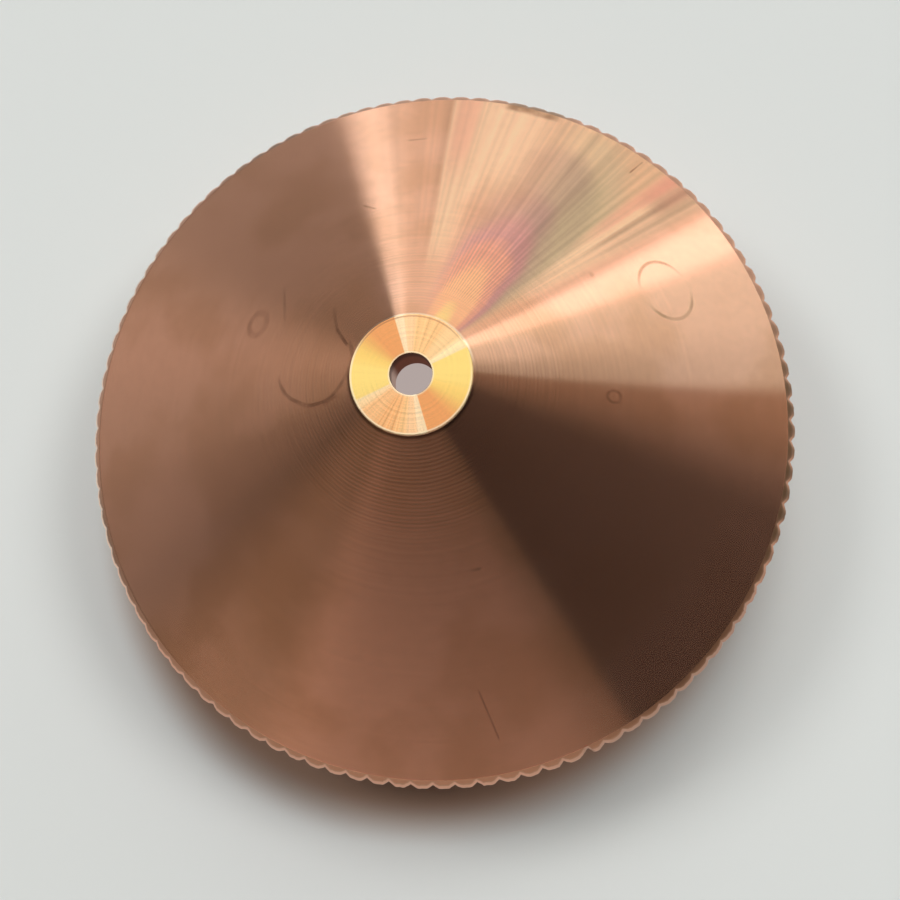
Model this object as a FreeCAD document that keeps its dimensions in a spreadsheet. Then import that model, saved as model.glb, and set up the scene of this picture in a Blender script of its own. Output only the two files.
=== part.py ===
import FreeCAD, Part
import os
import Sketcher

# Laser cutting nozzle, turned in one piece from a bar of red copper.
# Lengths are in millimetres. Z runs along the nozzle's axis, from the end of its
# threaded boss up to the tip. The boss stands on the plane z = 0.

os.makedirs("parts", exist_ok=True)
doc = FreeCAD.newDocument("laser_nozzle")
sheet = doc.addObject("Spreadsheet::Sheet", "Sizes")


# Sizes that are set on their own

SET_SIZES = [
    ("overall_height", "15", "end of the boss to the face of the tip"),
    ("flange_d", "32", "over the crests of the knurl"),
    ("rim_height", "1.9", "seat face to the edge of the cone"),
    ("rim_top_bevel_in", "0.4", "bevel between knurl and cone, measured inwards"),
    ("rim_top_bevel_down", "0.35", "the same bevel, measured downwards"),
    ("rim_back_bevel", "0.3", "45 degree bevel between knurl and seat face"),
    ("knurl_teeth", "105", "straight teeth round the rim"),
    ("knurl_depth", "0.22", "crest to root"),
    ("knurl_notch_width", "0.42", "mouth of one notch, at the crests"),
    ("knurl_overcut", "0.3", "how far the notch tool reaches outside the rim"),
    ("tip_d", "4.8", "where the cone ends"),
    ("tip_edge_break", "0.1", "45 degree break round the tip's face"),
    ("orifice_d", "1.7", "the beam and the gas leave here"),
    ("orifice_length", "1.7", "straight part of the orifice"),
    ("orifice_edge_break", "0.05", "45 degree break at its mouth"),
    ("chamber_mouth_d", "10", "tapered gas passage, at the end of the boss"),
    ("chamber_mouth_bevel", "0.25", "45 degree bevel at that mouth"),
    ("thread_major_d", "14", "M14 x 1, screws into the cutting head"),
    ("thread_pitch", "1", "one turn of the thread"),
    ("boss_height", "4.6", "end face to seat face"),
    ("boss_lead_bevel", "0.6", "45 degree lead on to the thread"),
    ("relief_d", "12.5", "groove where the threading tool runs out"),
    ("relief_turns", "1.2", "its width, counted in turns of the thread"),
    ("relief_slope", "0.5", "sloping side of the groove, along the axis"),
    ("relief_into_face", "0.2", "the groove also dips into the back of the flange"),
    ("seat_inner_d", "14.8", "the flat seat begins here, outside that dip"),
]


# Sizes that follow from them, used by the sketches below

WORKED_OUT = [
    ("crest_radius", "=flange_d / 2"),
    ("rim_face_radius", "=crest_radius - rim_back_bevel"),
    ("cone_foot_radius", "=crest_radius - rim_top_bevel_in"),
    ("tip_radius", "=tip_d / 2"),
    ("tip_face_radius", "=tip_radius - tip_edge_break"),
    ("orifice_radius", "=orifice_d / 2"),
    ("orifice_mouth_radius", "=orifice_radius + orifice_edge_break"),
    ("chamber_radius", "=chamber_mouth_d / 2"),
    ("chamber_lip_radius", "=chamber_radius + chamber_mouth_bevel"),
    ("thread_radius", "=thread_major_d / 2"),
    ("boss_end_radius", "=thread_radius - boss_lead_bevel"),
    ("relief_radius", "=relief_d / 2"),
    ("relief_low_level", "=boss_height - relief_turns * thread_pitch"),
    ("relief_floor_level", "=relief_low_level + relief_slope"),
    ("relief_top_level", "=boss_height + relief_into_face"),
    ("seat_inner_radius", "=seat_inner_d / 2"),
    ("rim_low_level", "=boss_height + rim_back_bevel"),
    ("cone_foot_level", "=boss_height + rim_height"),
    ("rim_high_level", "=cone_foot_level - rim_top_bevel_down"),
    ("tip_edge_level", "=overall_height - tip_edge_break"),
    ("orifice_inner_level", "=overall_height - orifice_length"),
    ("orifice_mouth_level", "=overall_height - orifice_edge_break"),
    ("knurl_root_radius", "=crest_radius - knurl_depth"),
    ("knurl_tool_radius", "=crest_radius + knurl_overcut"),
    ("knurl_tool_half_width",
     "=knurl_notch_width / 2 * (knurl_depth + knurl_overcut) / knurl_depth"),
]

row = 0
for alias, text, note in SET_SIZES:
    row += 1
    sheet.set("A%d" % row, alias)
    sheet.set("B%d" % row, text)
    sheet.set("C%d" % row, note)
    sheet.setAlias("B%d" % row, alias)
for alias, formula in WORKED_OUT:
    row += 1
    sheet.set("A%d" % row, alias)
    sheet.set("B%d" % row, formula)
    sheet.setAlias("B%d" % row, alias)
doc.recompute()


def size(alias):
    """The present value of a size in the sheet."""
    return float(sheet.get(alias))


# Outlines of the turned blank and of the passage bored through it.
# Each corner is a radius and a level, named as in the sheet. None is the axis
# for a radius, and the plane z = 0 for a level.

BLANK = [
    (None, None),
    ("boss_end_radius", None),
    ("thread_radius", "boss_lead_bevel"),
    ("thread_radius", "relief_low_level"),
    ("relief_radius", "relief_floor_level"),
    ("relief_radius", "relief_top_level"),
    ("seat_inner_radius", "boss_height"),
    ("rim_face_radius", "boss_height"),
    ("crest_radius", "rim_low_level"),
    ("crest_radius", "rim_high_level"),
    ("cone_foot_radius", "cone_foot_level"),
    ("tip_radius", "tip_edge_level"),
    ("tip_face_radius", "overall_height"),
    (None, "overall_height"),
]

PASSAGE = [
    (None, None),
    ("chamber_lip_radius", None),
    ("chamber_radius", "chamber_mouth_bevel"),
    ("orifice_radius", "orifice_inner_level"),
    ("orifice_radius", "orifice_mouth_level"),
    ("orifice_mouth_radius", "overall_height"),
    (None, "overall_height"),
]

START, END = 1, 2
ORIGIN, X_LINE, Y_LINE = -1, -1, -2


def new_sketch(body, label, role):
    """A sketch on the body's own origin plane that has this role."""
    sketch = body.newObject("Sketcher::SketchObject", label)
    plane = [f for f in body.Origin.OriginFeatures if f.Role == role][0]
    sketch.AttachmentSupport = [(plane, "")]
    sketch.MapMode = "FlatFace"
    doc.recompute()
    return sketch


def bind(sketch, kind, line, name, alias):
    """Hold the start of a line at the sheet's distance from the origin."""
    place = sketch.addConstraint(
        Sketcher.Constraint(kind, ORIGIN, START, line, START, size(alias)))
    sketch.renameConstraint(place, name)
    sketch.setExpression("Constraints." + name, "Sizes." + alias)


def draw_outline(sketch, corners):
    """A closed outline with every corner held by the sheet."""
    points = []
    for radius, level in corners:
        x = size(radius) if radius else 0.0
        y = size(level) if level else 0.0
        points.append(FreeCAD.Vector(x, y, 0))
    count = len(points)
    for i in range(count):
        sketch.addGeometry(Part.LineSegment(points[i], points[(i + 1) % count]))
    for i in range(count):
        sketch.addConstraint(
            Sketcher.Constraint("Coincident", i, END, (i + 1) % count, START))
    for i, (radius, level) in enumerate(corners):
        if radius:
            bind(sketch, "DistanceX", i, "radius_%d" % i, radius)
        else:
            sketch.addConstraint(
                Sketcher.Constraint("PointOnObject", i, START, Y_LINE))
        if level:
            bind(sketch, "DistanceY", i, "level_%d" % i, level)
        else:
            sketch.addConstraint(
                Sketcher.Constraint("PointOnObject", i, START, X_LINE))
    doc.recompute()


# The nozzle

nozzle = doc.addObject("PartDesign::Body", "nozzle")
nozzle.Label = "nozzle"

blank_sketch = new_sketch(nozzle, "BlankOutline", "XZ_Plane")
draw_outline(blank_sketch, BLANK)
blank = nozzle.newObject("PartDesign::Revolution", "TurnedBlank")
blank.Profile = blank_sketch
blank.ReferenceAxis = (blank_sketch, ["V_Axis"])
blank.Angle = 360
doc.recompute()
blank_volume = blank.Shape.Volume

passage_sketch = new_sketch(nozzle, "PassageOutline", "XZ_Plane")
draw_outline(passage_sketch, PASSAGE)
passage = nozzle.newObject("PartDesign::Groove", "GasPassage")
passage.Profile = passage_sketch
passage.ReferenceAxis = (passage_sketch, ["V_Axis"])
passage.Angle = 360
doc.recompute()
passage_volume = passage.Shape.Volume


# One notch of the knurl, straight along the axis. It stops short of the cone
# because its root lies outside the cone's foot.

notch_sketch = new_sketch(nozzle, "NotchOutline", "XY_Plane")
root = FreeCAD.Vector(size("knurl_root_radius"), 0, 0)
left = FreeCAD.Vector(size("knurl_tool_radius"), size("knurl_tool_half_width"), 0)
right = FreeCAD.Vector(size("knurl_tool_radius"), -size("knurl_tool_half_width"), 0)
notch_sketch.addGeometry(Part.LineSegment(root, right))
notch_sketch.addGeometry(Part.LineSegment(right, left))
notch_sketch.addGeometry(Part.LineSegment(left, root))
for i in range(3):
    notch_sketch.addConstraint(
        Sketcher.Constraint("Coincident", i, END, (i + 1) % 3, START))
notch_sketch.addConstraint(Sketcher.Constraint("PointOnObject", 0, START, X_LINE))
notch_sketch.addConstraint(
    Sketcher.Constraint("Symmetric", 1, START, 2, START, X_LINE))
bind(notch_sketch, "DistanceX", 0, "root", "knurl_root_radius")
bind(notch_sketch, "DistanceX", 2, "reach", "knurl_tool_radius")
bind(notch_sketch, "DistanceY", 2, "half_width", "knurl_tool_half_width")
doc.recompute()

notch = nozzle.newObject("PartDesign::Pocket", "KnurlNotch")
notch.Profile = notch_sketch
notch.Type = "Length"
notch.Reversed = True
notch.setExpression("Length", "Sizes.cone_foot_level")
doc.recompute()
notch_volume = notch.Shape.Volume

knurl = nozzle.newObject("PartDesign::PolarPattern", "Knurl")
knurl.Originals = [notch]
knurl.Axis = (notch_sketch, ["N_Axis"])
knurl.Angle = 360
knurl.setExpression("Occurrences", "Sizes.knurl_teeth")
nozzle.Tip = knurl
doc.recompute()
knurl_volume = knurl.Shape.Volume


# Every feature has to have done its work before the part is written

for item in doc.Objects:
    if "Invalid" in item.State or "Error" in item.State:
        raise RuntimeError("%s did not build: %s" % (item.Label, item.State))

if not passage_volume < blank_volume:
    raise RuntimeError("the passage removed nothing")
if not notch_volume < passage_volume:
    raise RuntimeError("the first notch removed nothing")

one_notch = passage_volume - notch_volume
all_notches = passage_volume - knurl_volume
if abs(all_notches / one_notch - size("knurl_teeth")) > 0.01:
    raise RuntimeError("the knurl has the wrong number of notches")

shape = nozzle.Shape
if shape.isNull() or not shape.isValid() or len(shape.Solids) != 1:
    raise RuntimeError("the nozzle is not one valid solid")

shape.exportStep("parts/%s.step" % nozzle.Label)
box = shape.BoundBox
print("nozzle", round(box.XLength, 3), round(box.YLength, 3), round(box.ZLength, 3))
print("volume", round(shape.Volume, 2), "notch", round(one_notch, 5))
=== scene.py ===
import math

import bmesh
import bpy
import numpy as np
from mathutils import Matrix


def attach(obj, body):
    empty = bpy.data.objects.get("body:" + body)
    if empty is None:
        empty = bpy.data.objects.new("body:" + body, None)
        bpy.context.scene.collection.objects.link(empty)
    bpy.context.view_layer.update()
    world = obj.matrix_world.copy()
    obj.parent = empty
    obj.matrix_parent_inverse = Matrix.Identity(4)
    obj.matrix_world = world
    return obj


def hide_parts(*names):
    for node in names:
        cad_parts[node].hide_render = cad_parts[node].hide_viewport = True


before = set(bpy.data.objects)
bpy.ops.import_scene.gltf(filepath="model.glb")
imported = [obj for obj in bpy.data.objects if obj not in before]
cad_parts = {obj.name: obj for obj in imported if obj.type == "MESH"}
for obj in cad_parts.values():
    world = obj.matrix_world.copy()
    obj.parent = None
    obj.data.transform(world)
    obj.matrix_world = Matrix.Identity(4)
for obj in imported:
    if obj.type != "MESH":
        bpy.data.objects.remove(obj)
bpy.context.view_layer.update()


# The nozzle's shape
# One piece of red copper, turned all over in a lathe: a shallow cone with a flat
# tip, a rim knurled for the fingers, and a threaded boss behind it. A straight
# orifice opens through the tip from a tapered passage. Sizes here are in mm.

HEIGHT = 15.0
SEAT = 4.6
TEETH = 105
CREST = 15.99
NOTCH_DEPTH = 0.21
NOTCH_REACH = 0.3       # half a notch's width, as a share of the teeth's spacing
BEVEL_FALL = 1.0        # of the bevel between knurl and cone, per mm outwards
FOOT_RADIUS = 15.6      # where the cone begins
FOOT_LEVEL = 6.5
TIP_RADIUS = 2.4        # where it ends
TIP_LEVEL = 14.9
ORIFICE_RADIUS = 0.83
CONE_RISE = (TIP_LEVEL - FOOT_LEVEL) / (FOOT_RADIUS - TIP_RADIUS)
THREAD_RADIUS = 7.0
THREAD_ROOT = 6.4
THREAD_PITCH = 1.0
THREAD_TOP = 3.9
THREAD_CREST_WIDTH = 0.14
RUN_OUT = 3.4           # the thread's crest slopes inwards above this level
RUN_OUT_SLOPE = 1.5
RIM_JOIN = 15.4         # the rim's finer mesh starts here
FACE_JOIN = 15.2        # and the plain turned faces end here


def cone_level(radius):
    """Height of the cone's surface: the foot's height, plus the rise per mm inwards."""
    return FOOT_LEVEL + (FOOT_RADIUS - radius) * CONE_RISE


def rounded(corners, support=0.04):
    """Turns corners (radius, level, rounding) into a finer outline.

    Each corner C becomes the curve (1-u)^2 A + 2u(1-u) C + u^2 B between the points
    A and B that lie the rounding's length before and after it. A long straight run
    gets one more point close to each end, which keeps its shading flat.
    """
    points = np.array([corner[:2] for corner in corners], dtype=float)
    u = np.linspace(0.0, 1.0, 4)[:, None]
    line = [points[0]]
    for i in range(1, len(corners) - 1):
        back = points[i - 1] - points[i]
        ahead = points[i + 1] - points[i]
        back = back / np.linalg.norm(back)
        ahead = ahead / np.linalg.norm(ahead)
        a = points[i] + back * corners[i][2]
        b = points[i] + ahead * corners[i][2]
        if np.linalg.norm(a - line[-1]) > 4 * support:
            line.append(a + back * support)
        line.extend((1 - u) ** 2 * a + 2 * u * (1 - u) * points[i] + u ** 2 * b)
        if np.linalg.norm(points[i + 1] - b) > 4 * support:
            line.append(b + ahead * support)
    line.append(points[-1])
    return np.array(line)


def turned(outline, angle, cut=0.0):
    """Carries an outline round the axis: x = r cos a, y = r sin a, z = level.

    The cut is taken off the radius outside the cone's foot, and in full from 0.22 mm
    further out, which makes the knurl. On the rim's upper half the outline slides up
    the bevel by as much, so that its edge keeps its width and follows the notches.
    It stops at the cone.
    """
    rim_middle = (SEAT + FOOT_LEVEL) / 2 - 0.05
    cut = cut * np.clip((outline[:, :1] - FOOT_RADIUS) / 0.22, 0.0, 1.0) * np.ones_like(angle)
    radius = outline[:, :1] - cut
    level = outline[:, 1:] + cut * BEVEL_FALL * (outline[:, 1:] > rim_middle)
    level = np.where(cut > 0.0, np.minimum(level, cone_level(radius)), level)
    return np.stack([radius * np.cos(angle), radius * np.sin(angle), level], axis=-1)


def threaded(angle):
    """The threaded band, on rows that climb with the helix.

    Level = pitch * (place in the turn + angle / full turn), cut off at the band's
    ends. Radius = the crest's, less the depth of a 60 degree groove at that place,
    and never above the lead bevel at the start or the slope at the run-out.
    """
    place = np.array([
        0, .06, .09, .16, .24, .32, .38, .42, .5, .58, .62, .68, .76, .84, .91, .94])
    turns = math.ceil(THREAD_TOP / THREAD_PITCH) + 1
    row = (np.arange(turns)[:, None] + place).reshape(-1, 1)
    level = np.clip((row - 1 + angle / (2 * math.pi)) * THREAD_PITCH, 0.0, THREAD_TOP)
    from_crest = THREAD_PITCH * np.abs((row + 0.5) % 1.0 - 0.5)
    groove = (from_crest - THREAD_CREST_WIDTH / 2) * math.sqrt(3)
    groove = np.clip(groove, 0.0, THREAD_RADIUS - THREAD_ROOT)
    radius = np.minimum(THREAD_RADIUS - groove, THREAD_ROOT + level)
    radius = np.minimum(radius, THREAD_RADIUS - (level - RUN_OUT) * RUN_OUT_SLOPE)
    grid = np.stack([radius * np.cos(angle), radius * np.sin(angle), level], axis=-1)
    return grid, len(place)


def quads(first, rows, columns, climb=0):
    """Faces of a grid that closes round the axis, from the number of its first point.

    With a climb, the last column meets the first one that many rows further on.
    """
    row, column = np.mgrid[0:rows - 1, 0:columns]
    onward = (column + 1) % columns
    lift = np.where(onward == 0, climb, 0)
    low = first + row * columns
    low_on = first + np.minimum(row + lift, rows - 1) * columns
    high_on = first + np.minimum(row + lift + 1, rows - 1) * columns
    faces = [low + column, low_on + onward, high_on + onward, low + columns + column]
    return np.stack(faces, axis=-1).reshape(-1, 4)


def fans(fine, coarse, columns, ratio):
    """Triangles from a fine ring on to a coarse one, with ratio points to each of its own."""
    own = np.arange(columns)
    own_on = (own + 1) % columns
    thin = own[:, None] * ratio + np.arange(ratio)
    thin_on = (thin + 1) % (columns * ratio)
    shared = np.repeat(own[:, None], ratio, axis=1)
    narrow = np.stack([fine + thin, fine + thin_on, coarse + shared], axis=-1)
    broad = np.stack([fine + thin_on[:, -1], coarse + own_on, coarse + own], axis=-1)
    return np.concatenate([narrow.reshape(-1, 3), broad])


# columns: twelve to a tooth on the rim, and every third of them everywhere else
in_tooth = np.array([0, .04, .12, .22, .27, .38, .5, .62, .73, .78, .88, .96])
rim_angle = ((np.arange(TEETH)[:, None] + in_tooth) * 2 * math.pi / TEETH).ravel()
angle = rim_angle[::3]

# the knurl's notches are pressed in by a wheel, so no two are quite as deep, and
# the metal between them stands up in rounded, slightly ragged crests. The wheel
# has pressed more lightly on two stretches.
pressed = np.random.default_rng(7)
tooth_turn = np.arange(TEETH) * 360 / TEETH
lightly = np.exp(-((tooth_turn - 206) / 30) ** 2)
lightly = lightly + 0.7 * np.exp(-((tooth_turn - 322) / 22) ** 2)
deep = NOTCH_DEPTH * pressed.uniform(0.8, 1.0, TEETH) * (1 - 0.5 * lightly)
teeth_round = rim_angle * TEETH / (2 * math.pi)
nearest = np.rint(teeth_round).astype(int) % TEETH
off_notch = np.abs((teeth_round + 0.5) % 1.0 - 0.5)
notch = deep[nearest] * np.clip(1.0 - off_notch / NOTCH_REACH, 0.0, 1.0) ** 1.1
ragged = pressed.uniform(0.0, 0.03, rim_angle.size)


def arc_from(degrees):
    """Distance round the rim from this azimuth, in mm."""
    turn = (rim_angle - math.radians(degrees) + math.pi) % (2 * math.pi) - math.pi
    return np.abs(turn) * CREST


# one knock has left a pit in the rim, and a short length of it is rubbed down
pit = 0.3 * np.clip(1.0 - (arc_from(-64.5) / 0.2) ** 2, 0.0, 1.0)
rubbed = 0.07 * np.clip(2.0 - arc_from(73.5) / 1.3, 0.0, 1.0)
knurl = np.maximum(np.maximum(notch + ragged, pit), rubbed)

# the outlines: relief groove and seat, then the rim, then cone, tip and passage
back = rounded([(6.25, THREAD_TOP, 0), (6.25, 4.8, 0.12), (7.4, SEAT, 0.05), (FACE_JOIN, SEAT, 0)])
rim = rounded([
    (RIM_JOIN, SEAT, 0), (15.7, SEAT, 0.05), (CREST, 4.9, 0.06), (CREST, 6.05, 0.04),
    (15.79, 6.31, 0.03), (FOOT_RADIUS, FOOT_LEVEL, 0.02), (RIM_JOIN, cone_level(RIM_JOIN), 0)])
front = rounded([
    (FACE_JOIN, cone_level(FACE_JOIN), 0), (TIP_RADIUS, TIP_LEVEL, 0.01), (2.385, HEIGHT, 0.01),
    (ORIFICE_RADIUS, HEIGHT, 0.015), (ORIFICE_RADIUS, 13.35, 0.03),
    (5.0, 0.25, 0.06), (5.25, 0.0, 0.06), (THREAD_ROOT, 0.0, 0)])

helix, rows_in_turn = threaded(angle)
grids = [turned(back, angle), turned(rim, rim_angle, knurl), turned(front, angle), helix]
first = np.cumsum([0] + [grid.shape[0] * grid.shape[1] for grid in grids])
last_ring = [first[i] + (grids[i].shape[0] - 1) * grids[i].shape[1] for i in range(4)]

points = np.concatenate([grid.reshape(-1, 3) for grid in grids]) * 0.001
faces = quads(first[0], len(back), angle.size).tolist()
faces += fans(first[1], last_ring[0], angle.size, 3)[:, ::-1].tolist()
faces += quads(first[1], len(rim), rim_angle.size).tolist()
faces += fans(last_ring[1], first[2], angle.size, 3).tolist()
faces += quads(first[2], len(front), angle.size).tolist()
faces += quads(first[3], len(helix), angle.size, rows_in_turn).tolist()

mesh = bpy.data.meshes.new("turned_nozzle")
mesh.from_pydata(points.tolist(), [], faces)
work = bmesh.new()
work.from_mesh(mesh)
bmesh.ops.remove_doubles(work, verts=work.verts, dist=2e-7)
bmesh.ops.dissolve_degenerate(work, edges=work.edges, dist=1e-8)
work.to_mesh(mesh)
work.free()
mesh.shade_smooth()
mesh.set_sharp_from_angle(angle=math.radians(40))

nozzle = bpy.data.objects.new("turned_nozzle", mesh)
bpy.context.scene.collection.objects.link(nozzle)
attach(nozzle, "root")
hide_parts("nozzle")


# The nozzle's finishes
# Bare red copper, as the tools left it. The cone and the tip have fine concentric
# marks, so they throw light out in fans; on the tip and in the cone's bright fan
# these fans, with their sheen and streaks, are painted into the colour, as are
# light and shade by the rim, the tip's edge and the orifice. The metal has begun
# to tarnish in patches, and drops have dried on the cone.

class Quantity:
    """Something that varies over a surface or over the sky, written as arithmetic.

    It wraps a node's output. Sums and products of numbers become Math nodes, and
    those of colours or vectors become Vector Math nodes.
    """

    def __init__(self, tree, socket):
        self.tree = tree
        self.socket = socket

    def node(self, kind, settings={}, output=0, **inputs):
        """Any node: its kind, its settings, and the values or links of its inputs.

        An input is named as on the node, with _ for a space, or by its place.
        """
        made = self.tree.nodes.new("ShaderNode" + kind)
        for name, value in settings.items():
            setattr(made, name, value)
        for name, value in inputs.items():
            key = int(name[1:]) if name[1:].isdigit() else name.replace("_", " ")
            if isinstance(value, Quantity):
                self.tree.links.new(value.socket, made.inputs[key])
            else:
                made.inputs[key].default_value = value
        return Quantity(self.tree, made.outputs[output])

    def is_wide(self):
        return isinstance(self, Quantity) and self.socket.type in ("VECTOR", "RGBA")

    def combine(self, operation, first, second):
        wide = Quantity.is_wide(first) or Quantity.is_wide(second)
        wide = wide or isinstance(first, tuple) or isinstance(second, tuple)
        if not wide:
            return self.node("Math", {"operation": operation}, i0=first, i1=second)
        first = first if isinstance(first, (Quantity, tuple)) else (first,) * 3
        second = second if isinstance(second, (Quantity, tuple)) else (second,) * 3
        return self.node("VectorMath", {"operation": operation}, i0=first, i1=second)

    def __add__(self, other):
        return self.combine("ADD", self, other)

    def __sub__(self, other):
        return self.combine("SUBTRACT", self, other)

    def __mul__(self, other):
        return self.combine("MULTIPLY", self, other)

    def __truediv__(self, other):
        return self.combine("DIVIDE", self, other)

    def __rsub__(self, other):
        return self.combine("SUBTRACT", other, self)

    def __pow__(self, other):
        return self.combine("POWER", self, other)

    __radd__ = __add__
    __rmul__ = __mul__

    def __abs__(self):
        return self.apply("ABSOLUTE")

    def apply(self, operation, second=0.0, third=0.0):
        """A function of this number, and of up to two more."""
        return self.node("Math", {"operation": operation}, i0=self, i1=second, i2=third)

    def between(self, low, high, soft=True):
        """Rises from 0 at low to 1 at high. High may be the smaller one."""
        kind = {"interpolation_type": "SMOOTHSTEP" if soft else "LINEAR"}
        return self.node("MapRange", kind, Value=self, From_Min=low, From_Max=high)

    def part(self, axis):
        """One coordinate of a vector: 0, 1 or 2."""
        return self.node("SeparateXYZ", output=axis, Vector=self)

    def noise(self, scale, detail):
        """Cloudy noise around 0.5, in space for a vector and along a line for a number."""
        if self.is_wide():
            return self.node("TexNoise", Vector=self, Scale=scale, Detail=detail)
        line = {"noise_dimensions": "1D"}
        return self.node("TexNoise", line, W=self, Scale=scale, Detail=detail)


def blended(amount, first, second):
    """The first colour where the amount is 0 and the second where it is 1."""
    return amount.node("Mix", {"data_type": "RGBA"}, output=2, i0=amount, i6=first, i7=second)


def new_finish(name):
    """Adds a metal material: its Principled shader, and the place on the piece in mm."""
    finish = bpy.data.materials.new(name)
    finish.use_nodes = True
    shader = finish.node_tree.nodes["Principled BSDF"]
    shader.inputs["Metallic"].default_value = 1.0
    start = Quantity(finish.node_tree, shader.outputs[0])
    place = start.node("TexCoord", output=3) * 1000.0
    mesh.materials.append(finish)
    return shader, place


def set_inputs(shader, **inputs):
    """Gives the shader's sockets their values or links."""
    for name, value in inputs.items():
        socket = shader.inputs[name.replace("_", " ")]
        if isinstance(value, Quantity):
            value.tree.links.new(value.socket, socket)
        else:
            socket.default_value = value


def polar(place):
    """Distance from the axis in mm, and azimuth in degrees."""
    x, y = place.part(0), place.part(1)
    radius = (x * x + y * y) ** 0.5
    azimuth = y.apply("ARCTAN2", x) * (180 / math.pi)
    return radius, azimuth


def flecked(colour, amount, strength):
    """The colour made lighter where the amount is above 0, and darker where it is below."""
    return colour * (amount * strength + 1.0)


def near_line(place, x0, y0, x1, y1, width):
    """1 on a straight line between two points, seen from above, falling to 0 at its width."""
    length = math.hypot(x1 - x0, y1 - y0)
    ahead, aside = (x1 - x0) / length, (y1 - y0) / length
    x, y = place.part(0) - x0, place.part(1) - y0
    along = x * ahead + y * aside
    across = abs(y * ahead - x * aside)
    ends = along.between(-width, width) * along.between(length + width, length - width)
    return across.between(width, width * 0.3) * ends


def near_ring(place, x, y, wide, tall, turn, width):
    """1 on an oval outline, seen from above. Its wide axis is turned by so many degrees."""
    ahead, aside = math.cos(math.radians(turn)), math.sin(math.radians(turn))
    right, up = place.part(0) - x, place.part(1) - y
    first = (right * ahead + up * aside) / wide
    second = (up * ahead - right * aside) / tall
    off = abs((first * first + second * second) ** 0.5 - 1.0) * ((wide + tall) / 2)
    return off.between(width, width * 0.3), first, second


COPPER = (0.90, 0.45, 0.29, 1)
TARNISH = (0.80, 0.39, 0.235, 1)
GROOVE_DEPTH = 0.00001          # of the turning marks, in metres
ROUND_THE_AXIS = 0.25           # the direction of the marks, as a share of a turn

shader, place = new_finish("turned_copper_cone")
radius, azimuth = polar(place)
colour = blended(place.noise(0.22, 3.0).between(0.42, 0.62), COPPER, TARNISH)
# painted shade: away from the lit side the cone is painted darker and more orange towards the tip
sunny_side = azimuth.between(0, 20) * azimuth.between(125, 110)
colour = blended(radius.between(9, 3) * (1.0 - sunny_side) * 0.5, colour, (0.86, 0.41, 0.22, 1))
# painted shade: the dark sector of the cone, where little light falls, is painted darker and
# redder
shaded_sector = azimuth.between(-60, -52) * azimuth.between(-8, -18)
colour = blended(shaded_sector * 0.5, colour, (0.80, 0.34, 0.20, 1))

# painted sheen: the rainbow colours into which the fine marks break the light are
# painted on the cone's bright fan as hill-shaped bands, from orange by the tip,
# through rose and grey, to straw
wobble = place.noise(0.45, 3.0) - 0.5
hill = radius + abs((azimuth - 64.0) / 13.5) ** 2 * 2.5 + wobble * 1.6
iridescent_sheen = (1.0, 0.60, 0.25, 1)
for low, high, tint in [
        (2.6, 3.6, (0.97, 0.46, 0.25, 1)), (4.8, 6.4, (0.80, 0.34, 0.235, 1)),
        (6.6, 7.8, (0.60, 0.27, 0.235, 1)), (8.0, 9.4, (0.50, 0.27, 0.21, 1)),
        (9.6, 11.4, (0.54, 0.33, 0.22, 1)), (12.6, 14.4, (0.74, 0.46, 0.28, 1)),
        (15.0, 17.0, (0.86, 0.47, 0.28, 1))]:
    iridescent_sheen = blended(hill.between(low, high), iridescent_sheen, tint)
olive = azimuth.between(59, 53) * hill.between(8, 10) * hill.between(15.5, 13.5)
iridescent_sheen = blended(olive * 0.45, iridescent_sheen, (0.62, 0.45, 0.26, 1))
iridescent_sheen = flecked(iridescent_sheen, azimuth.between(56, 65) * hill.between(6, 8), 0.17)
thin = hill.between(7, 10) * azimuth.between(58, 71) * 0.6
colour = blended(azimuth.between(39, 47) * azimuth.between(84, 70) * (1.0 - thin), colour, iridescent_sheen)
# painted highlight: paler, brighter copper in parts of the bright fan
paler_sheen = radius.between(8, 12) + azimuth.between(76, 84) * radius.between(4, 7)
paler_sheen = azimuth.between(66, 76) * azimuth.between(89, 87) * paler_sheen
paler_sheen = paler_sheen + azimuth.between(38, 41) * azimuth.between(48, 44) * radius.between(4, 8) * 0.8
colour = blended(paler_sheen.between(0, 1, False) * 0.85, colour, (1.0, 0.585, 0.37, 1))

# painted sheen: lines that run outwards across the bright fan, painted lighter and darker, with
# fine stripes
streaks = place.node("CombineXYZ", X=azimuth * 0.95, Y=radius * 0.05).noise(1.0, 3.0)
fanned = azimuth.between(35, 44) * azimuth.between(104, 80)
colour = flecked(colour, (streaks - 0.5) * fanned * radius.between(3, 8), 0.55)
stripes = (azimuth * (2 * math.pi / 1.36)).apply("SINE")
striped = azimuth.between(48, 56) * azimuth.between(78, 71)
striped = striped * radius.between(3.1, 4.2) * radius.between(9, 6)
colour = flecked(colour, stripes * striped, 0.13)
# painted highlights and shade: single lighter and darker lines in the bright fan
for middle, half, low, high, strength in [
        (89.0, 1.1, 3.0, 14.0, -0.16), (99.6, 1.6, 3.0, 12.0, -0.07),
        (104.0, 2.2, 3.0, 12.0, 0.06), (105.0, 8.0, 8.0, 4.0, -0.16),
        (46.0, 3.0, 6.5, 8.5, 0.16), (42.0, 3.0, 9.0, 12.0, -0.10),
        (44.5, 4.0, 12.8, 14.2, -0.30), (43.6, 0.9, 8.5, 11.0, -0.26),
        (41.2, 0.7, 8.0, 11.0, -0.14), (62.0, 0.7, 10.0, 13.0, -0.12)]:
    line = abs(azimuth - middle).between(half, half * 0.2) * radius.between(low, high)
    colour = flecked(colour, line, strength)
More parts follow.
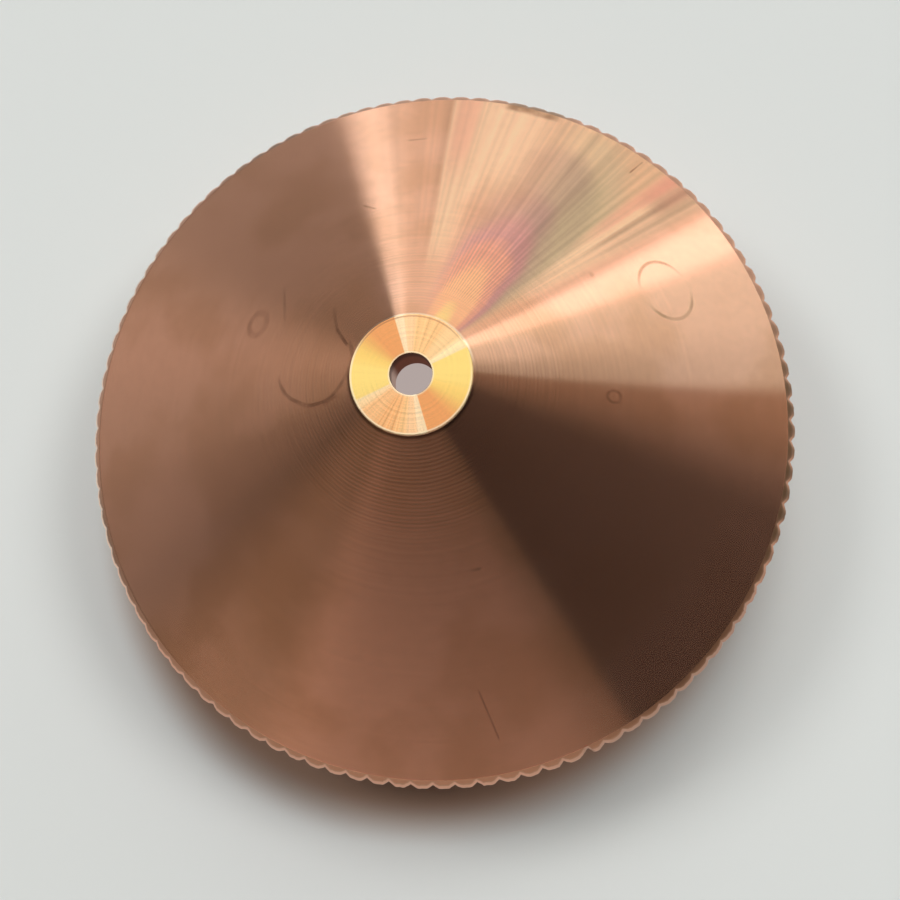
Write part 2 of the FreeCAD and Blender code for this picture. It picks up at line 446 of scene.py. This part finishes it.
# painted sheen: rose tints in the bright fan
rosy = abs(azimuth - 46.8).between(2.2, 0.6) * radius.between(8, 12)
rosy = rosy + abs(azimuth - 45.0).between(3.4, 1.5) * radius.between(12.5, 15) * 0.7
rosy = rosy + abs(azimuth - 85.5).between(3.2, 1.2) * radius.between(9, 13)
colour = blended(rosy * 0.5, colour, (0.93, 0.38, 0.26, 1))

# the tool's own marks, closest together by the tip
marks = radius.noise(6.5, 3.0) - 0.5
arcs = (radius * (2 * math.pi / 0.142) + wobble * 5.0).apply("SINE") * radius.between(7.5, 3.0)
lower_side = azimuth.between(-175, -135) * azimuth.between(-20, -60)
turning = marks * radius.between(16, 4) * 0.8 + arcs * (lower_side * 0.36 + 0.12)
colour = flecked(colour, turning, 0.22)
colour = flecked(colour, place.noise(2.6, 3.0) - 0.5, 0.11)

# drops that dried, two scratches and a few specks
patchy = place.noise(1.1, 2.0).between(0.35, 0.6)
stain, along, across = near_ring(place, 10.15, 5.15, 1.42, 1.1, 116.7, 0.1)
stain = stain * abs(along).between(0.15, 0.8) * (patchy * 0.3 + 0.4)
colour = blended(stain, colour, (0.36, 0.19, 0.10, 1))
stain, along, across = near_ring(place + wobble * 0.5, -4.12, 0.75, 1.76, 1.7, 0, 0.11)
drops = stain * (along * 0.375 - across * 0.927).between(-0.25, 0.3) * 0.85
for x, y, wide, tall, turned_by, width, strength in [
        (-7.06, 3.0, 0.52, 0.42, 75, 0.2, 0.55), (7.85, -0.1, 0.27, 0.25, 0, 0.09, 0.5)]:
    drops = drops + near_ring(place, x, y, wide, tall, turned_by, width)[0] * strength
for x0, y0, x1, y1, width, strength in [
        (-3.45, 3.1, -3.15, 2.05, 0.1, 0.8), (-3.15, 2.05, -2.6, 1.25, 0.1, 1.0),
        (-2.95, -0.7, -3.5, -0.95, 0.16, 1.0), (-6.0, 4.5, -5.7, 2.9, 0.1, 0.35),
        (2.32, -11.85, 3.1, -13.8, 0.06, 0.65), (-2.4, 8.36, -2.95, 8.6, 0.07, 1.1),
        (-0.6, 12.8, -1.45, 12.72, 0.07, 0.5), (8.72, 11.4, 9.35, 12.2, 0.05, 1.3),
        (2.2, -7.2, 2.55, -7.1, 0.08, 0.6), (7.0, 5.2, 6.9, 5.4, 0.14, 0.4)]:
    drops = drops + near_line(place, x0, y0, x1, y1, width) * strength
drops = (drops * (patchy * 0.6 + 0.4)).between(0, 1.25, False)
colour = blended(drops, colour, (0.38, 0.15, 0.08, 1))

# a worn place by the rim, a darker line along the cone's foot, and a painted highlight and painted
# shade along its edge by the tip
worn = near_line(place, 5.35, 14.55, 2.95, 15.25, 0.4)
colour = blended(worn * (patchy * 0.4 + 0.5), colour, (0.38, 0.19, 0.10, 1))
foot = radius.between(15.5, 15.57) * (azimuth.between(115, 135) + azimuth.between(-125, -150))
colour = blended(foot * 0.45, colour, (0.30, 0.13, 0.07, 1))
# painted highlight along the cone's edge by the tip, on the lit side
edge = radius.between(2.52, 2.44) * azimuth.between(5, 25) * azimuth.between(170, 125)
colour = blended(edge * 0.75, colour, (1.0, 0.72, 0.50, 1))
# painted shade along the cone's edge by the tip, on two short stretches
under_lip = radius.between(2.54, 2.46) * (azimuth.between(0, -25) + azimuth.between(165, 185))
colour = blended(under_lip * 0.8, colour, (0.16, 0.06, 0.03, 1))
height = marks * 0.2 + arcs * 0.08
bump = place.node("Bump", Strength=0.5, Distance=GROOVE_DEPTH, Height=height)
set_inputs(shader, Base_Color=colour, Roughness=0.24, Normal=bump,
           Anisotropic=1.0, Anisotropic_Rotation=ROUND_THE_AXIS)

# the tip was faced in one cut; the pale, golden and orange fans of light that its marks
# throw are painted into its colour
shader, place = new_finish("turned_copper_tip")
radius, azimuth = polar(place)
half_turn = azimuth.apply("WRAP", 180.0, 0.0)
colour = (0.965, 0.69, 0.21, 1)
for low, high, tint in [
        (25, 28, (1.0, 0.77, 0.42, 1)), (34, 40, (0.965, 0.62, 0.30, 1)),
        (52, 60, (0.955, 0.56, 0.25, 1)), (84, 90, (0.96, 0.58, 0.30, 1)),
        (97, 100, (1.0, 0.72, 0.42, 1)), (107, 108.5, (0.96, 0.42, 0.15, 1)),
        (130, 158, (0.97, 0.64, 0.18, 1)), (158, 176, (0.965, 0.69, 0.21, 1))]:
    colour = blended(half_turn.between(low, high), colour, tint)
# painted shade: a warmer, darker stretch of the tip
warmer = azimuth.between(-96, -110) * azimuth.between(-160, -140)
colour = blended(warmer * 0.45, colour, (0.93, 0.42, 0.17, 1))
# painted sheen: darker stripes and fine flecks across the tip's fans
stripes = (half_turn * (2 * math.pi / 4.8)).apply("SINE")
striped = half_turn.between(46, 60) * half_turn.between(86, 74) * radius.between(0.95, 1.2)
striped = striped * (azimuth.between(0, -20) * 0.6 + 0.6)
colour = blended(stripes.between(0.2, 1.0) * striped * 0.5, colour, (0.80, 0.36, 0.12, 1))
fine = half_turn.noise(0.2, 2.0) - 0.5
marks = radius.noise(9.0, 3.0) - 0.5
fanned = half_turn.between(24, 30) * half_turn.between(112, 106) + 0.25
colour = flecked(colour, fine * fanned + marks * 0.15, 0.28)
# painted highlights: a bright ring round the orifice's mouth and along parts of the tip's outer
# edge
outer_lip = radius.between(2.28, 2.33) * (azimuth.between(30, -20) + azimuth.between(120, 170))
lip = radius.between(0.92, 0.87) + outer_lip
colour = blended(lip * 0.7, colour, (1.0, 0.80, 0.52, 1))
# painted shade: a brown ring just inside the tip's outer edge
painted_dark_ring = radius.between(2.27, 2.30) * radius.between(2.36, 2.33)
painted_dark_ring = painted_dark_ring * azimuth.between(20, 60) * azimuth.between(170, 130)
colour = blended(painted_dark_ring * 0.6, colour, (0.45, 0.2, 0.1, 1))
bump = place.node("Bump", Strength=0.5, Distance=GROOVE_DEPTH, Height=marks)
set_inputs(shader, Base_Color=colour, Roughness=0.22, Normal=bump,
           Anisotropic=1.0, Anisotropic_Rotation=ROUND_THE_AXIS)

# on one side the bevel above the knurl is painted dark brown, as painted shade, and
# on the other its edge is painted pale, as a painted highlight, and greyer between,
# as a painted reflection. The depth below the bevel's own plane tells its parts apart.
shader, place = new_finish("knurled_copper_rim")
radius, azimuth = polar(place)
below = FOOT_LEVEL - place.part(2) + (FOOT_RADIUS - radius) * BEVEL_FALL
inner = below.between(0.03, 0.012)
bevel = below.between(0.15, 0.11)
crest = (azimuth * (TEETH * math.pi / 180)).apply("COSINE") * -0.5 + 0.5
# painted shade: the bevel's top, on the right and far side, painted dark brown along the crests
shaded_bevel = azimuth.between(35, 0) * 0.7 + azimuth.between(100, 120) * 0.3 + 0.3
shaded_bevel = azimuth.between(-32, -18) * azimuth.between(140, 122) * shaded_bevel
dark_edged = azimuth.between(-65, -45) + azimuth.between(-130, -160)
blotches = place.noise(0.8, 3.0).between(0.3, 0.7)
unshaded_edge = azimuth.between(0, 25) * azimuth.between(122, 105)
left_edged = azimuth.between(122, 140) + azimuth.between(-160, -175)
# painted shade: the bevel's inner facet painted dark brown, least on the lit side
dark = inner * (dark_edged * 0.25 + 0.65 - unshaded_edge * 0.65 - left_edged * 0.35)
colour = blended(dark, COPPER, (0.26, 0.12, 0.06, 1))
shaded_bevel = shaded_bevel * bevel * (crest * 0.6 + 0.35) * (blotches * 0.2 + 0.8)
colour = blended(shaded_bevel, colour, (0.19, 0.10, 0.05, 1))
# painted highlight: the bevel's edge painted pale on the left
bright = (azimuth.between(130, 150) + azimuth.between(-135, -165)) * (bevel - inner)
colour = blended(bright * 0.85, colour, (1.0, 0.85, 0.72, 1))
# painted reflection: the bevel's edge painted greyer on the lower side
grey_reflection = azimuth.between(-20, -35) * azimuth.between(-160, -120) * (bevel - inner)
colour = blended(grey_reflection * (azimuth.between(-75, -55) * 0.3 + 0.45), colour, (0.50, 0.32, 0.25, 1))
worn = near_line(place, 5.9, 14.6, 3.0, 15.4, 0.45)
colour = blended(worn * 0.7, colour, (0.36, 0.22, 0.13, 1))
# painted shade: the pit in the rim painted near-black
pit_shade = near_line(place, 6.83, -14.32, 6.93, -14.52, 0.3)
colour = blended(pit_shade, colour, (0.05, 0.03, 0.02, 1))
set_inputs(shader, Base_Color=colour, Roughness=0.38)

shader, place = new_finish("turned_copper_back")
set_inputs(shader, Base_Color=COPPER, Roughness=0.34,
           Anisotropic=0.8, Anisotropic_Rotation=ROUND_THE_AXIS)

# the orifice is painted darker by its mouth, as painted shade, and glows with a painted light on
# one side
shader, place = new_finish("bored_copper_passage")
radius, azimuth = polar(place)
mouth = place.part(2).between(14.2, 14.8)
lit_side = (azimuth.between(145, 175) + azimuth.between(-120, -150)) * radius.between(1.2, 0.9)
colour = blended(mouth * 0.75, COPPER, (0.20, 0.09, 0.05, 1))
lit = lit_side * (1.0 - mouth * 0.6) * (0.24, 0.19, 0.16)
set_inputs(shader, Base_Color=colour, Roughness=0.36, Emission_Color=lit, Emission_Strength=1.0)

# each face takes the finish of the cut that made it, in the order of the sections above
CONE, TIP, KNURL, REAR, PASSAGE = range(5)
PASSAGE_SLOPE = 0.3121          # radius per mm of depth
count = len(mesh.polygons)
middle = np.empty(count * 3)
mesh.polygons.foreach_get("center", middle)
middle = middle.reshape(-1, 3) * 1000
out = np.hypot(middle[:, 0], middle[:, 1])
up = middle[:, 2]
on_cone = up > cone_level(out) - 0.003
in_passage = (up < TIP_LEVEL + 0.06) & (out < (HEIGHT + 0.3 - up) * PASSAGE_SLOPE + 0.4)
cut = np.full(count, REAR)
cut[(up > 6.2) & on_cone] = CONE
cut[(up > TIP_LEVEL) & (out > ORIFICE_RADIUS)] = TIP
cut[(out > RIM_JOIN) & ~on_cone] = KNURL
cut[in_passage & (out < 5.2)] = PASSAGE
cut[(out < 0.95) & (up > 13) & (up < HEIGHT - 0.01)] = PASSAGE
mesh.polygons.foreach_set("material_index", cut.astype(np.int32))


# The surroundings
# A plain pale floor, and a room whose light comes from above and from one side.

REACH = 0.6
floor_mesh = bpy.data.meshes.new("floor")
floor_mesh.from_pydata(
    [(-REACH, -REACH, 0), (REACH, -REACH, 0), (REACH, REACH, 0), (-REACH, REACH, 0)],
    [], [(0, 1, 2, 3)])
floor = bpy.data.objects.new("floor", floor_mesh)
bpy.context.scene.collection.objects.link(floor)
paint = bpy.data.materials.new("pale_floor")
paint.use_nodes = True
shader = paint.node_tree.nodes["Principled BSDF"]
start = Quantity(paint.node_tree, shader.outputs[0])
place = start.node("TexCoord", output=3) * 1000.0

# where it is seen through the orifice it glows with a painted light, and on the rest of
# it below the rim, away from the lamps, a dark brown painted shade takes the metal's colour
radius, azimuth = polar(place)
under_boss = radius.between(5.1, 4.9) * (start.node("LightPath", output=0) * 0.75 + 0.25)
radius, azimuth = polar(place + (1.2, 2.4, 0.0))
colour = blended(radius.between(14.5, 17.0), (0.37, 0.24, 0.17, 1), (0.70, 0.71, 0.69, 1))
set_inputs(shader, Base_Color=colour, Roughness=0.7,
           Emission_Color=under_boss * (0.43, 0.37, 0.35), Emission_Strength=1.0)
floor_mesh.materials.append(paint)

world = bpy.data.worlds.new("room")
bpy.context.scene.world = world
world.use_nodes = True
tree = world.node_tree
background = tree.nodes["Background"]
start = Quantity(tree, background.outputs[0])
toward = start.node("TexCoord", output=0)
east, north, height = toward.part(0), toward.part(1), toward.part(2)
elevation = height.apply("ARCSINE") * (180 / math.pi)


def panel(first, last, soft, low, high, colour, softer=None):
    """Light from a stretch of wall between two azimuths and two elevations, in degrees.

    Each azimuth edge fades over twice the soft angle, and each elevation edge over
    8 to 12. The first edge can be softer.
    """
    turn = math.radians((first + last) / 2)
    half = (last - first) / 2
    ahead = east * math.cos(turn) + north * math.sin(turn)
    aside = north * math.cos(turn) - east * math.sin(turn)
    off = aside.apply("ARCTAN2", ahead) * (180 / math.pi)
    softer = softer or soft
    across = off.between(-half - softer, -half + softer) * off.between(half + soft, half - soft)
    upward = elevation.between(low - 4, low + 4) * elevation.between(high + 6, high - 6)
    return (across * upward) * colour


def disc(azimuth, height, inner, outer, colour):
    """A round soft light: where its middle is, and how far from there it fades."""
    turn, rise = math.radians(azimuth), math.radians(height)
    middle = (math.cos(rise) * math.cos(turn), math.cos(rise) * math.sin(turn), math.sin(rise))
    dot = {"operation": "DOT_PRODUCT"}
    along = toward.node("VectorMath", dot, output=1, i0=toward, i1=middle)
    away = along.apply("ARCCOSINE") * (180 / math.pi)
    return away.between(outer, inner) * colour


light = disc(95, 66, 14, 36, (1.19, 1.17, 1.2))
for first, last, soft, low, high, colour, softer in [
        (17, 42, 1, -30, 20, (1.3, 1.6, 1.65), None),
        (29, 42.5, 1, 20, 62, (0.45, 0.5, 0.45), 5),
        (42.5, 51, 1.5, -30, 62, (0.85, 1.1, 0.92), None),
        (42.5, 51, 1.5, -30, 18, (2.1, 1.8, 2.2), None),
        (51, 105, 3, -30, 62, (0.9, 0.97, 0.92), None),
        (78, 92, 4, -30, 62, (0.08, 0.08, 0.08), None),
        (105, 111, 1.5, -30, 62, (1.2, 1.4, 1.5), None),
        (103, 111, 2, -30, 28, (0.4, 0.5, 0.5), None),
        (112, 150, 8, -30, 36, (0.05, 0.04, 0.025), None),
        (140, 174, 6, 35, 62, (1.0, 1.05, 1.0), None),
        (150, 200, 10, -30, 16, (0.25, 0.23, 0.22), None),
        (147, 165, 8, -30, 16, (0.16, 0.135, 0.12), None),
        (203, 219, 8, -30, 16, (0.20, 0.17, 0.125), None),
        (217, 241, 8, -30, 16, (0.15, 0.13, 0.095), None),
        (212, 303.5, 1, -30, 16, (0.43, 0.36, 0.265), 16),
        (232, 296, 8, -30, 16, (0.50, 0.41, 0.41), None),
        (4, 17, 1, -30, 20, (0.60, 0.50, 0.39), 12)]:
    light = light + panel(first, last, soft, low, high, colour, softer)
seen_by_camera = start.node("LightPath", output=0)
light = blended(seen_by_camera, light, (0.68, 0.69, 0.67, 1))
tree.links.new(light.socket, background.inputs["Color"])

# soft lamps for the floor, kept out of the metal's reflections: they draw the shadow.
# Each has its azimuth and its tilt from the vertical in degrees, and its strength.
for name, azimuth, tilt, energy in [
        ("right_lamp", 22, 40, 0.95), ("left_lamp", 150, 42, 0.75), ("far_lamp", 90, 32, 0.55)]:
    lamp_data = bpy.data.lights.new(name, "SUN")
    lamp_data.energy = energy
    lamp_data.angle = math.radians(20)
    lamp = bpy.data.objects.new(name, lamp_data)
    lamp.rotation_euler = (0, math.radians(tilt), math.radians(azimuth))
    lamp.visible_glossy = False
    bpy.context.scene.collection.objects.link(lamp)

scene = bpy.context.scene
scene.view_settings.view_transform = "Standard"


# The camera
# Above the nozzle, 13 degrees off its axis, close enough for its perspective to show.

BACKWARD = (0.07328, -0.22972, 0.97049)         # the way from the scene to the camera
STAND = (0.006641, -0.010900, 0.060026)         # where it is, in metres

camera_data = bpy.data.cameras.new("camera")
camera_data.lens = 48.7
camera_data.sensor_width = 36.0
camera_data.shift_x = -0.05
camera_data.shift_y = -0.0778
camera_data.clip_start = 0.001
camera = bpy.data.objects.new("camera", camera_data)
scene.collection.objects.link(camera)
backward = np.array(BACKWARD)
upward = np.array([0.0, backward[2], -backward[1]]) / math.hypot(backward[1], backward[2])
sideways = np.cross(upward, backward)
turn = np.eye(4)
turn[:3, 0], turn[:3, 1], turn[:3, 2] = sideways, upward, backward
turn[:3, 3] = STAND
camera.matrix_world = turn.T.tolist()
scene.camera = camera
